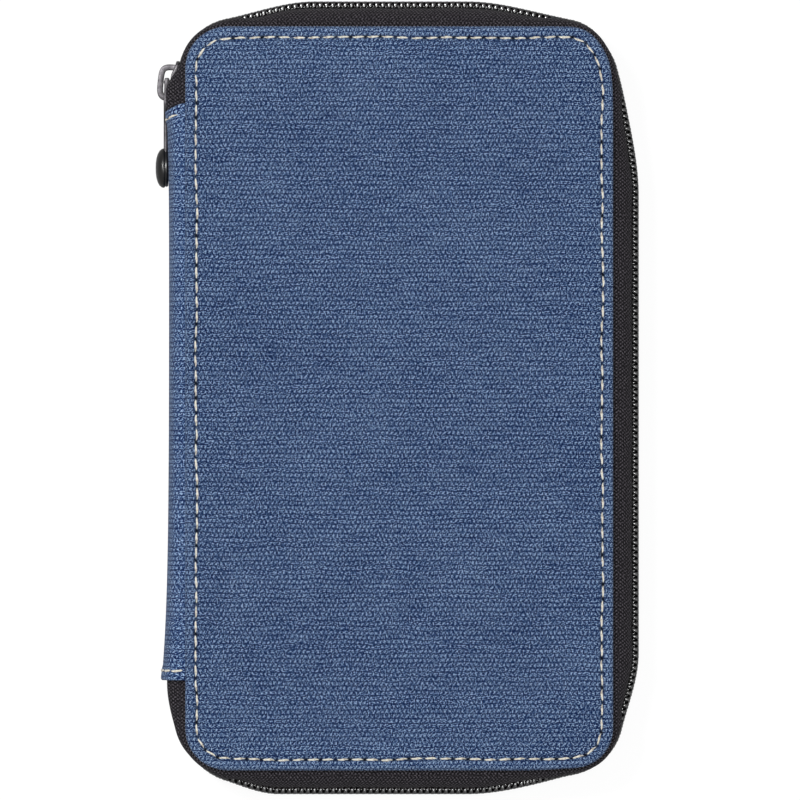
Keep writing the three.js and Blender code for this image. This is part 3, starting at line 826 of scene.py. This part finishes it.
def tape_profile(s):
    """Off and depth of the tape's middle at places across it, from inside the cover to under the coil."""
    chain = bulge(s)[:, None]
    crest = tape_crest(s)[:, None]
    hides = np.maximum(1 - smooth((bulge(s) - 1.1) / 1.5), smooth(past_corner(s) / 3))[:, None]
    reach = chain - TAPE_REACH
    first = mix(0.5 * chain + 0.35, 0.6 * crest, hides)
    first_share, swell_share, reach_share = curve_weights(CREST_AT)[1:]
    hiding = (crest - first_share * first - reach_share * reach) / swell_share
    swell = mix(0.95 * chain + 0.2, hiding, hides)
    off_points = (0.0, first, swell, reach)
    depth_points = (TAPE_DEPTH, TAPE_DEPTH + 0.1, mix(6.2, 5.2, hides), mix(8.7, 7.6, hides))
    weights = curve_weights(np.linspace(0, 1, 11)[None, :])
    offs = sum(w * point for w, point in zip(weights, off_points))
    depths = sum(w * point for w, point in zip(weights, depth_points))
    inside = np.repeat([[-TAPE_INSIDE, -0.9]], len(s), 0)
    inside_depth = np.full_like(inside, TAPE_DEPTH - 0.02)
    under = np.concatenate([reach, reach], 1)
    under_depth = np.repeat([[9.9, 11.1]], len(s), 0)
    return np.concatenate([inside, offs, under], 1), np.concatenate([inside_depth, depths, under_depth], 1)


def place_across_fold(piece, side, kind):
    """Stands a zipper piece in for the CAD's pieces of its kind on its side, with its placing baked into its
    mesh.
    """
    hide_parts(f"{side}_zipper_{kind}", f"{side}_{kind}_top_end", f"{side}_{kind}_bottom_end")
    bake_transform(piece)


def make_tape(side):
    s = np.linspace(CHAIN_FROM, CHAIN_TO, 460)
    off, depth = tape_profile(s)
    d_off = np.gradient(off, axis=1)
    d_depth = np.gradient(depth, axis=1)
    half = TAPE_HALF / np.hypot(d_off, d_depth)
    ripple = (0.1 * np.sin(s / 3.1) + 0.08 * np.sin(s / 1.7 + 1)) * smooth(bulge(s) / 4)
    off = off + ripple[:, None] * np.sin(np.linspace(0, math.pi, off.shape[1])) ** 2
    ring_off = np.concatenate([off + d_depth * half, (off - d_depth * half)[:, ::-1]], 1)
    ring_depth = np.concatenate([depth - d_off * half, (depth + d_off * half)[:, ::-1]], 1)
    rings = off_outline(s, ring_off, depth_to_z(side, ring_depth))
    across = travelled(np.hypot(np.diff(off), np.diff(depth)))
    across = np.concatenate([across, across[:, ::-1], across[:, :1]], 1)
    uv = np.stack([np.repeat(s[:, None], across.shape[1], 1), across], -1)
    piece = new_object(f"{side}_tape", *tube(rings, uv), TAPE)
    place_across_fold(piece, side, "tape")


def make_coil(side):
    """One half of the coil: a flattened helix of nylon, whose heads pass between the other half's."""
    turn_steps = 20
    around = 10
    turns = int((CHAIN_TO - CHAIN_FROM - 1) / COIL_PITCH)
    phase = np.arange(turns * turn_steps + 1) * 2 * math.pi / turn_steps
    shift = 0.5 * COIL_PITCH if side == "front" else 0.0
    s = CHAIN_FROM + 0.5 + shift + phase * COIL_PITCH / (2 * math.pi)
    out = soft(np.cos(phase), 0.28)
    off = bulge(s) + COIL_RAISE + COIL_HALF * out
    parted = COIL_PARTED * smooth((-s - 14) / 4)
    depth = COIL_MIDDLE - parted + COIL_SPAN * soft(np.sin(phase), 0.28) - COIL_TILT * out
    line = off_outline(s, off, depth_to_z(side, depth))
    tangent = unit(np.gradient(line, axis=0))
    normal = outline(s)[1]
    along = np.column_stack([normal[:, 1], -normal[:, 0], np.zeros(len(s))])
    first = unit(along - tangent * np.sum(along * tangent, 1)[:, None])
    second = np.cross(tangent, first)
    angle = full_turn(around)
    wide = COIL_WIRE * 1.2 * soft(np.cos(angle), 0.5)[None, :, None] * first[:, None]
    tall = COIL_WIRE * 0.9 * soft(np.sin(angle), 0.5)[None, :, None] * second[:, None]
    uv = uv_grid(s, np.arange(around + 1) * 0.35)
    piece = new_object(f"{side}_coil", *tube(line[:, None] + wide + tall, uv), COIL)
    place_across_fold(piece, side, "coil")


# ---- The spine ----

SPINE_BULGE = {"top": 5.1, "middle": 4.1, "bottom": 6.0}
HEM_FADE = {"top": 9, "bottom": 20}  # how far from each hem its own bulge lasts
DENT = 0.75  # how far the puller presses into the top hem
DENT_HALF = 3.4  # half of the dent's height
SPINE_EDGE = 1.0  # depth of the strip's edges below the outer faces
CLOTH = 0.8  # thickness of the strip
HEM_WIDTH = 3.2
HEM_SEAM = 2.4  # from the end of the spine to its hem's stitches
HEM_STEP = 0.22  # how far the folded hem stands up


def spine_bulge(y):
    middle = SPINE_BULGE["middle"]
    near_top = (SPINE_BULGE["top"] - middle) * np.exp((y - TOP_HEM) / HEM_FADE["top"])
    near_bottom = (SPINE_BULGE["bottom"] - middle) * np.exp((BOTTOM_HEM - y) / HEM_FADE["bottom"])
    return middle + near_top + near_bottom


def spine_section(turn, reach, dent=0.0):
    """Off and height of the strip's outer face: a bow with full shoulders, from the back (turn 0) to the
    front (turn pi), that may be dented half way."""
    height = (MID - SPINE_EDGE) * soft(np.cos(turn), 0.72)
    off = 0.02 + (reach - 0.02) * soft(np.sin(turn), 0.62)
    return off - dent * np.exp(-((height / DENT_HALF) ** 4)), MID - height


SPINE_TURN = np.linspace(0, math.pi, 400)
SPINE_ARC = travelled(np.hypot(*np.diff(spine_section(SPINE_TURN, SPINE_BULGE["middle"]))))


def spine_point(across, y, inside, slanted=True):
    """A point a distance inside the spine's outer face, at a share of the way from back to front. The top
    hem slants down to its middle if slanted."""
    turn = np.interp(np.asarray(across) * SPINE_ARC[-1], SPINE_ARC, SPINE_TURN)
    reach = spine_bulge(y)
    dent = DENT * smooth((y - TOP_HEM + 9) / 6)
    off, z = spine_section(turn, reach, dent)
    step = 0.01
    ahead = spine_section(np.minimum(turn + step, math.pi), reach, dent)
    behind = spine_section(np.maximum(turn - step, 0), reach, dent)
    d_off = ahead[0] - behind[0]
    d_z = ahead[1] - behind[1]
    inwards = inside / np.hypot(d_off, d_z)
    rise = (2.0 * (1 - np.sin(turn)) - 1.2) * smooth((y - TOP_HEM + 14) / 14)
    return np.stack([-HALF_W - off + inwards * d_z, y + rise * slanted, z + inwards * d_off], -1)


def place_on_spine(piece, slot, node):
    """The spine's cloth turns with the spine, with a mesh of its own."""
    place(piece, "spine", slot, node)
    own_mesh(piece)


def spine_sheet(name, across, y, inside, slanted, look):
    """A sheet of the spine between two distances inside its outer face."""
    grid_a, grid_y = np.meshgrid(across, y, indexing="xy")
    outer = spine_point(grid_a, grid_y, inside[0], slanted)
    inner = spine_point(grid_a, grid_y, inside[1], slanted)
    uv = np.stack([grid_a * SPINE_ARC[-1], grid_y], -1)
    return slab(name, outer, inner, uv, look, 70)


def make_spine():
    """The canvas strip, folded over and sewn at its ends, and its lining."""
    hem_places = np.array([0, 0.15, 0.5, 1.0, 1.5, 1.9, HEM_SEAM, 2.5, 2.9, HEM_WIDTH, 3.8])
    middle = np.linspace(BOTTOM_HEM + 6, TOP_HEM - 6, 60)
    y = np.concatenate([BOTTOM_HEM + hem_places, middle, TOP_HEM - hem_places[::-1]])
    to_end = np.minimum(y - BOTTOM_HEM, TOP_HEM - y)[:, None]
    folded = smooth((HEM_WIDTH + 0.4 - to_end) / 0.8)
    sewn = np.exp(-((to_end - HEM_SEAM) ** 2) / 0.12)
    ends = CLOTH / 2 * (1 - np.sqrt(np.clip(to_end / 0.5, 0, 1)))
    inside = (ends - HEM_STEP * (folded - sewn), CLOTH - ends)
    piece = spine_sheet("spine_strip", np.linspace(0, 1, 41), y, inside, True, SPINE_CANVAS)
    place_on_spine(piece, "canvas", "spine_canvas")
    y = np.linspace(BOTTOM_HEM + 8, TOP_HEM - 8, 40)
    across = np.linspace(0.14, 0.86, 25)
    piece = spine_sheet("spine_lining_strip", across, y, (CLOTH + 0.15, CLOTH + 0.6), False, LINING)
    place_on_spine(piece, "lining", "spine_lining")


def make_hem_seams():
    rows = (("top", TOP_HEM - HEM_SEAM, 0.055, 5.0), ("bottom", BOTTOM_HEM + HEM_SEAM, 0.012, STITCH_PITCH))
    for end, y, margin, pitch in rows:
        across = np.linspace(margin, 1 - margin, 90)
        line = spine_point(across, np.full(len(across), y), -0.2)
        ups = line - spine_point(across, np.full(len(across), y), 0.2)
        piece = seam(f"{end}_hem_stitches", line, ups, THREAD, pitch=pitch, dive=0.3)
        place_on_spine(piece, "thread", f"{end}_hem_stitching")


# ---- Pockets and pen loop ----

POCKET_CLOTH = 0.45
SEWN_MARGIN = 1.2  # of a pocket that lies flat beside its stitches
POCKET_SEAM = 0.9  # from a pocket's edge to its stitches
BINDING_HALF = 2.4  # half the width of the tape round a pocket's mouth
BINDING_SWELL = 0.42  # and half its thickness
BINDING_DROP = 0.22  # from the top of a pocket's cloth to the middle of its binding
ELASTIC_THICK = 0.9


def eased(first, last, count):
    """Places from first to last, closer together near both."""
    return mix(first, last, 0.5 - 0.5 * np.cos(math.pi * np.linspace(0, 1, count)))


def make_pocket(node, side, looseness):
    """A pocket sheet sewn down on three sides, its bound mouth bowing open towards +Y."""
    low, high = box_mm(node)
    base, top = sorted(depth_to_z(side, z) for z in (low.z, high.z))
    gx, gy = np.meshgrid(eased(low.x, high.x, 46), eased(low.y, high.y, 60), indexing="xy")
    from_side = np.minimum(gx - low.x, high.x - gx)
    rise = smooth((from_side - SEWN_MARGIN) / looseness) * smooth((gy - low.y - SEWN_MARGIN) / looseness)
    wrinkle = 0.12 * np.sin(gx / 6.3 + gy / 17) * np.sin(gy / 11 - gx / 23) * rise
    height = mix(base + 0.55, top - 0.05, rise) + wrinkle * min(1.0, top - base - 1)
    height = np.minimum(height, top)
    outer = np.stack([gx, gy, depth_to_z(side, height)], -1)
    inner = np.stack([gx, gy, depth_to_z(side, height - POCKET_CLOTH)], -1)
    piece = slab(f"{node}_sheet", outer, inner, np.stack([gx, gy], -1), POCKET)
    place(piece, f"{side}_cover", "pocket_cloth", node)
    make_mouth(node, side, gx[-1], height[-1], high.y)
    make_pocket_seam(node, side, low, high, base)


def make_mouth(node, side, x, height, y):
    """A folded binding along the mouth of a pocket."""
    turns = 10
    angle = full_turn(turns)
    flat = soft(np.cos(angle), 0.35) * BINDING_HALF
    thick = soft(np.sin(angle), 0.6) * BINDING_SWELL
    rings = [
        np.repeat(x[:, None], turns, 1),
        y - BINDING_HALF + 0.3 + np.repeat(flat[None], len(x), 0),
        depth_to_z(side, (height - BINDING_DROP)[:, None] + thick),
    ]
    binding = tube(np.stack(rings, -1), uv_grid(x, np.arange(turns + 1) * 0.9))
    piece = new_object(f"{node}_binding", *binding, BINDING)
    place(piece, f"{side}_cover", "canvas")


def make_pocket_seam(node, side, low, high, base):
    """Stitches down one side of a pocket, along its foot and up the other side."""
    left = low.x + POCKET_SEAM
    right = high.x - POCKET_SEAM
    foot = low.y + POCKET_SEAM
    corners = [(left, high.y - 5), (left, foot), (right, foot), (right, high.y - 5)]
    line = np.concatenate([np.linspace(a, b, 60) for a, b in zip(corners, corners[1:])])
    line = np.column_stack([line, np.full(len(line), depth_to_z(side, base + 0.6))])
    ups = np.tile([0, 0, 1 if side == "back" else -1], (len(line), 1))
    piece = seam(f"{node}_stitches", line, ups, DARK_THREAD, slant=0.05, **FINE_THREAD)
    place(piece, f"{side}_cover", "thread")


def make_pen_loop():
    """A band of elastic that arches over the pen."""
    low, high = box_mm("pen_loop")
    radius = (high.x - low.x) / 2
    t = np.linspace(0, 1, 28)
    angle = math.pi * (1 - t)
    x = (high.x + low.x) / 2 + radius * np.cos(angle)
    sides = (high.z - low.z - radius) * smooth(np.sin(angle) * 2.5)
    z = low.z + 0.5 + sides + (radius - 0.5) * np.sin(angle)
    outer = np.column_stack([x, z])
    tangent = np.gradient(outer, axis=0)
    inner = outer - unit(np.column_stack([-tangent[:, 1], tangent[:, 0]])) * ELASTIC_THICK
    y = np.linspace(low.y, high.y, 16)
    sheets = []
    for line in (outer, inner):
        grid_y, grid_x = np.meshgrid(y, line[:, 0], indexing="ij")
        sheets.append(np.stack([grid_x, grid_y, np.tile(line[:, 1], (len(y), 1))], -1))
    piece = slab("elastic_pen_loop", *sheets, uv_grid(y, t * 26), ELASTIC)
    place(piece, "back_cover", "elastic", "pen_loop")


# ---- The slider and its puller ----

SLIDER_TURN = math.radians(84.3)  # the chain's direction at the slider
FORWARD = np.array([math.cos(SLIDER_TURN), math.sin(SLIDER_TURN)])
OUTWARD = np.array([-math.sin(SLIDER_TURN), math.cos(SLIDER_TURN)])
PLATE_OUT = 2.65  # from the chain's middle to the outer face of the slider's outer plate
PLATE_IN = -3.15  # and to the outer face of its inner plate
PLATE = 1.1  # thickness of either
SLIDER_HALF = 5.6  # half the length of the slider
PIVOT = FOLD["puller_swing"]
PIVOT_OUT = 3.95  # from the chain's middle
SLIDER_SEAT = np.array([PIVOT.x, PIVOT.y]) - PIVOT_OUT * OUTWARD
BAIL_REACH = 3.9
BAIL_HEIGHT = 2.75
BAIL_BAND = 1.5
BAIL_WIDTH = 2.2
ARM_OFFSET = 0.5  # of the link's arms from the pivot, towards the slider
NECK_OFFSET = 0.2  # and of its neck
NECK_HALF = 0.54  # half its thickness; this and the neck's offset are enlarged so that its dark side stands in for the shade beside it
LINK_ARM = 2.0  # from the middle of the link to the middle of an arm
CROSS_BAR = 0.4  # radius of the bar that turns in the bail
GRIP_RAISE = 1.3  # of the grip from the CAD's, towards the slider
GRIP_INWARDS = 1.05  # and towards the spine
GRIP_HALF = 4.95  # half its length
GRIP_DEPTH = 3.25
# From the middle of the grip's dome to the middle of its back: shares of its oval and of its depth.
GRIP_PROFILE = [
    (0.0, 1.0), (0.25, 0.99), (0.5, 0.94), (0.72, 0.84), (0.88, 0.7), (0.97, 0.54), (1.0, 0.4), (0.98, 0.31),
    (0.93, 0.27), (0.93, 0.22), (0.95, 0.17), (0.93, 0.08), (0.86, 0.02), (0.6, 0.0), (0.0, 0.0),
]


def slider_point(along, out):
    """A point by distances along the chain from the slider's seat, and out from the chain."""
    return SLIDER_SEAT + np.multiply.outer(along, FORWARD) + np.multiply.outer(out, OUTWARD)


def bar(name, middle, across, half_thick, half_wide, z, look, squareness=0.4):
    """A bar of rounded rectangular section along a line in the XY plane, whose thickness lies across it."""
    count = len(middle)
    angle = full_turn(20)
    thick = np.multiply.outer(np.broadcast_to(half_thick, count), soft(np.cos(angle), squareness))
    wide = np.multiply.outer(np.broadcast_to(half_wide, count), soft(np.sin(angle), squareness))
    flat = middle[:, None] + np.broadcast_to(across, (count, 2))[:, None] * thick[..., None]
    uv = uv_grid(np.arange(count) * 0.4, np.arange(len(angle) + 1) * 0.4)
    return new_object(name, *tube(np.concatenate([flat, z + wide[..., None]], -1), uv), look, 50)


def plate_dip(along):
    """How far the outer plate's narrow end dips towards the chain."""
    return 0.9 * smooth((along - 1.5) / 3.5)


def make_slider():
    """Two plates either side of the chain, wide at the nose, joined by a post, with the ends eased."""
    t = np.sin(np.linspace(-math.pi / 2, math.pi / 2, 25))
    along = SLIDER_HALF * t
    tapered = np.clip(1 - np.abs(t) ** 16, 0.2, 1) ** 0.5
    half_wide = mix(4.2, 3.3, smooth((along + 1) / 5)) * tapered
    half_thick = PLATE / 2 * tapered**0.6
    outer = PLATE_OUT - PLATE / 2
    inner = PLATE_IN + PLATE / 2
    plates = (("slider_outer_plate", outer - plate_dip(along)), ("slider_inner_plate", np.full(25, inner)))
    for name, out in plates:
        piece = bar(name, slider_point(along, out), OUTWARD, half_thick, half_wide, MID, METAL)
        place(piece, "slider", "gunmetal", "slider_body")
    middle = slider_point(np.full(5, -2.6), np.linspace(inner, outer, 5))
    post = bar("slider_post", middle, FORWARD, 1.2, 0.35, MID, METAL)
    place(post, "slider", "gunmetal")


def make_bail():
    """The arch of flat rounded band that the puller hangs from."""
    phi = np.linspace(0.0, math.pi, 41)
    along = BAIL_REACH * soft(np.cos(phi), 0.55)
    arch = BAIL_HEIGHT * soft(np.sin(phi), 0.5)
    middle = slider_point(along, PLATE_OUT - 0.35 + arch - plate_dip(along) * (1 - np.sin(phi)) ** 2)
    tangent = np.gradient(middle, axis=0)
    across = unit(np.column_stack([-tangent[:, 1], tangent[:, 0]]))
    piece = bar("bail_arch", middle, across, BAIL_BAND / 2, BAIL_WIDTH / 2, MID, METAL, 0.22)
    place(piece, "slider", "gunmetal", "slider_bail")


def make_link():
    """The puller's link: two arms from a cross bar in the bail, that meet in a neck beside the spine."""
    sideways = (1.0, 0.0)
    y = PIVOT.y + np.array([1.1, 1.0, 0.6, -0.2, -1.2, -2.2, -3.4, -4.6, -5.6, -6.2])
    x = PIVOT.x + mix(ARM_OFFSET, NECK_OFFSET, smooth((PIVOT.y - y - 0.5) / 3.5))
    half_thick = np.array([0.3, 0.5, 0.64, 0.66, 0.64, 0.58, NECK_HALF, NECK_HALF, NECK_HALF, 0.4])
    half_wide = np.array([0.35, 0.6, 0.7, 0.7, 0.65, 0.6, 0.6, 0.65, 0.8, 0.6])
    for name, z in (("puller_front_arm", MID + LINK_ARM), ("puller_back_arm", MID - LINK_ARM)):
        arm = bar(name, np.column_stack([x, y]), sideways, half_thick, half_wide, z, SHADED_METAL)
        place(arm, "puller", "gunmetal", "puller_link")
    y = PIVOT.y - np.array([4.9, 5.1, 5.6, 6.4, 7.4, 9.0, 11.0, 14.0, 17.0, 19.0])
    middle = np.column_stack([np.full(len(y), PIVOT.x + NECK_OFFSET), y])
    half_wide = np.array([2.0, 2.4, 2.6, 2.5, 2.0, 1.6, 1.5, 1.5, 1.5, 1.5])
    neck = bar("puller_neck", middle, sideways, NECK_HALF, half_wide, MID, SHADED_METAL)
    place(neck, "puller", "gunmetal")


def make_cross_bar():
    """The round bar of the link that turns in the bail."""
    turn = full_turn(16)
    z = MID + np.linspace(-LINK_ARM, LINK_ARM, 3)
    circle = np.column_stack([PIVOT.x + CROSS_BAR * np.cos(turn), PIVOT.y + CROSS_BAR * np.sin(turn)])
    rings = np.array([np.column_stack([circle, np.full(len(turn), level)]) for level in z])
    uv = uv_grid(z, np.arange(len(turn) + 1) * 0.2)
    place(new_object("puller_cross_bar", *tube(rings, uv), SHADED_METAL), "puller", "gunmetal")


def make_grip():
    """An oval thumb pad: a dome on the outside, a flat back that holds the end of the link."""
    low, high = box_mm("puller_grip")
    middle_y = (low.y + high.y) / 2 + GRIP_RAISE
    half_width = (high.z - low.z) / 2
    inner = high.x + GRIP_INWARDS
    angle = full_turn(48)
    rings = []
    for share, level in GRIP_PROFILE:
        x = np.full(len(angle), inner - GRIP_DEPTH * level)
        y = middle_y + GRIP_HALF * share * np.sin(angle)
        z = (low.z + high.z) / 2 + half_width * share * np.cos(angle)
        rings.append(np.column_stack([x, y, z]))
    rings = np.array(rings)
    piece = dome("thumb_grip", rings, rings[..., 1:], GRIP, 40)
    place(piece, "puller", "grip_plastic", "puller_grip")


# ---- The whole object ----

for cover in ("back", "front"):
    make_cover_canvas(cover)
    make_cover_seam(cover)
    make_lining(cover)
    make_tape(cover)
    make_coil(cover)
    make_board(cover)
make_spine()
make_hem_seams()
for pocket, cover, looseness in (
    ("document_pocket", "back", 8),
    ("passport_pocket", "back", 16),
    ("ticket_sleeve", "front", 8),
    ("card_slot_upper", "front", 6),
    ("card_slot_middle", "front", 6),
    ("card_slot_lower", "front", 6),
):
    make_pocket(pocket, cover, looseness)
make_pen_loop()
make_slider()
make_bail()
make_link()
make_cross_bar()
make_grip()


# ---- Floor, light and camera ----

WHITE = (1, 1, 1, 1)
FLOOR_GLOW = 0.92  # as the camera sees it
FLOOR_BOUNCE = 0.35  # as it lights the object


def make_floor():
    """A white floor that gives off most of its own light, so that shadows on it stay faint."""
    look = Look("pale_floor", Roughness=0.9, Specular_IOR_Level=0.0)
    shade = look.ramp(look.object_noise(0.002), (0.0, (0.12, 0.12, 0.12, 1)), (1.0, (0.14, 0.14, 0.14, 1)))
    look.set("Base_Color", shade)
    seen = look.add("LightPath").outputs["Is Camera Ray"]
    look.set("Emission_Color", WHITE)
    look.set("Emission_Strength", look.plus(FLOOR_BOUNCE, (seen, FLOOR_GLOW - FLOOR_BOUNCE)))
    mesh = bpy.data.meshes.new("floor")
    half = 4.0
    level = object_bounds()[0][2]
    corners = [(-half, -half), (half, -half), (half, half), (-half, half)]
    mesh.from_pydata([(x, y, level) for x, y in corners], [], [(0, 1, 2, 3)])
    mesh.materials.append(look.material)
    add_to_scene("floor", mesh)


def make_area_light(name, where, size, power):
    light = bpy.data.lights.new(name, "AREA")
    light.shape = "DISK"
    light.size = size
    light.energy = power
    lamp = add_to_scene(name, light)
    lamp.location = where
    lamp.rotation_euler = (-Vector(where)).to_track_quat("-Z", "Y").to_euler()
    lamp.visible_camera = False


def make_sky(strength):
    world = bpy.data.worlds.new("studio")
    world.use_nodes = True
    background = world.node_tree.nodes["Background"].inputs
    background["Color"].default_value = WHITE
    background["Strength"].default_value = strength
    bpy.context.scene.world = world


def make_camera():
    """Straight above, from far off, with the frame 200 mm wide at the front cover."""
    lens = 1500
    sensor = 36
    frame_width = 0.2
    data = bpy.data.cameras.new("camera")
    data.lens = lens
    data.sensor_width = sensor
    data.clip_start = 0.1
    data.clip_end = 50
    camera = add_to_scene("camera", data)
    distance = frame_width * lens / sensor
    camera.location = (0.0002, -0.0004, THICKNESS * MM + distance)
    bpy.context.scene.camera = camera


make_floor()
make_area_light("key_light", (-0.5, 0.42, 1.45), 0.4, 13)
make_area_light("top_light", (0.03, -0.03, 1.5), 0.22, 2.6)
make_area_light("fill_light", (0.8, -0.3, 1.2), 1.2, 2)
make_sky(0.42)
make_camera()
bpy.context.scene.view_settings.view_transform = "Standard"
